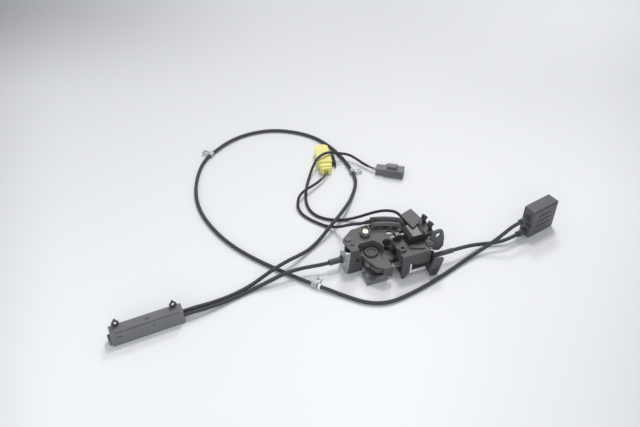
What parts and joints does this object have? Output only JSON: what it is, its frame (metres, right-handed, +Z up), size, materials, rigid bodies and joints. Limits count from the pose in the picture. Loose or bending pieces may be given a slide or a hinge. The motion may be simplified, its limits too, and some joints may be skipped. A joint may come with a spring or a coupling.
{
  "type": "hood latch",
  "caption": "Stamped steel hood latch with claw catch, pawl, safety lever, switch, release cables to a coupler and a junction box, and two sensor leads.",
  "frame": {"origin": "on the table under the middle of the latch's own box, without its cords", "axes": "+Z up from the table, +X along the latch towards its upper mounting ear, +Y away from the mounting faces"},
  "size_m": [0.6004, 0.4147, 0.0533],
  "materials": {
    "black_steel": "satin black coating",
    "grey_steel": "dark grey phosphate",
    "zinc_steel": "satin zinc plating",
    "yellow_zinc": "yellow passivated zinc",
    "spring_steel": "drawn wire",
    "black_plastic": "fine grained",
    "dark_plastic": "fine grained",
    "yellow_plastic": "smooth",
    "white_plastic": "smooth",
    "rubber": "matte",
    "cable_sheath": "smooth extruded",
    "lead_sheath": "smooth extruded",
    "wire_black": "smooth extruded"
  },
  "bodies": {
    "frame": {"base_plate": "black_steel", "black_plug": "black_plastic", "black_plug_lock": "dark_plastic", "cable_bracket": "zinc_steel", "cable_clips": "zinc_steel", "cable_ring": "white_plastic", "catch_plate": "black_steel", "catch_rivet": "grey_steel", "catch_spacers": "zinc_steel", "catch_spring": "spring_steel", "coupler_base": "dark_plastic", "coupler_clips": "black_plastic", "coupler_cover": "dark_plastic", "coupler_end_cap": "black_plastic", "ear_bracket": "black_steel", "frame_plate": "black_steel", "frame_posts": "grey_steel", "front_strip": "zinc_steel", "front_wall": "black_steel", "junction_base": "dark_plastic", "junction_cover": "dark_plastic", "junction_ports": "black_plastic", "lead_channel": "grey_steel", "left_cable": "cable_sheath", "left_ferrule": "black_plastic", "loop_cable": "cable_sheath", "lower_bracket": "black_steel", "panel_clip": "black_plastic", "pawl_rivet": "grey_steel", "pawl_spacers": "zinc_steel", "pawl_spring": "spring_steel", "plunger_guide": "black_plastic", "right_cable": "cable_sheath", "right_ferrule": "black_plastic", "safety_rivet": "grey_steel", "safety_spacers": "zinc_steel", "safety_spring": "spring_steel", "sensor_boot": "rubber", "sensor_lead": "lead_sheath", "sensor_threads": "wire_black", "small_rivets": "grey_steel", "spring_rivet": "yellow_zinc", "striker_buffer": "rubber", "switch_boot": "rubber", "switch_bracket": "grey_steel", "switch_housing": "black_plastic", "switch_lead": "lead_sheath", "switch_threads": "wire_black", "yellow_plug": "yellow_plastic", "yellow_plug_clip": "black_plastic", "yellow_plug_collar": "yellow_plastic"},
    "catch": {"catch": "grey_steel"},
    "pawl": {"pawl": "grey_steel", "release_lever": "grey_steel"},
    "safety": {"safety_lever": "zinc_steel"},
    "plunger": {"switch_plunger": "zinc_steel"},
    "left_core": {"left_wire": "spring_steel"},
    "right_core": {"right_wire": "spring_steel"},
    "coupler_block": {"coupler_slider": "white_plastic"},
    "junction_block": {"junction_slider": "white_plastic"}
  },
  "joints": [
    {"name": "catch_pivot", "type": "hinge", "parent": "frame", "child": "catch", "pos_m": [-0.0305, 0, 0.02], "axis": [0, 0, 1], "range_deg": [0, 52], "stiffness_Nm_per_rad": 0.2},
    {"name": "pawl_pivot", "type": "hinge", "parent": "frame", "child": "pawl", "pos_m": [-0.00348, 0.03053, 0.02], "axis": [0, 0, 1], "range_deg": [-5, 11], "stiffness_Nm_per_rad": 0.1},
    {"name": "safety_pivot", "type": "hinge", "parent": "frame", "child": "safety", "pos_m": [0.016, 0.016, 0.01455], "axis": [0, 0, 1], "range_deg": [0, 20], "stiffness_Nm_per_rad": 0.1},
    {"name": "plunger_slide", "type": "slide", "parent": "frame", "child": "plunger", "axis": [1, 0, 0], "range_m": [0, 0.0025], "stiffness_N_per_m": 200},
    {"name": "left_core_slide", "type": "slide", "parent": "frame", "child": "left_core", "axis": [1, 0, 0], "range_m": [-0.0015, 0.0032]},
    {"name": "right_core_slide", "type": "slide", "parent": "frame", "child": "right_core", "axis": [1, 0, 0], "range_m": [0, 0.0145]},
    {"name": "coupler_slide", "type": "slide", "parent": "frame", "child": "coupler_block", "axis": [0.9976, 0.0698, 0], "range_m": [-0.0015, 0.0032]},
    {"name": "junction_slide", "type": "slide", "parent": "frame", "child": "junction_block", "axis": [0.9763, 0.2164, 0], "range_m": [0, 0.0145]}
  ],
  "couplings": [
    {"joint": "left_core_slide", "follows": "pawl_pivot", "m_per_rad": 0.015533},
    {"joint": "coupler_slide", "follows": "pawl_pivot", "m_per_rad": 0.015533},
    {"joint": "right_core_slide", "follows": "safety_pivot", "m_per_rad": 0.04},
    {"joint": "junction_slide", "follows": "safety_pivot", "m_per_rad": 0.04}
  ]
}
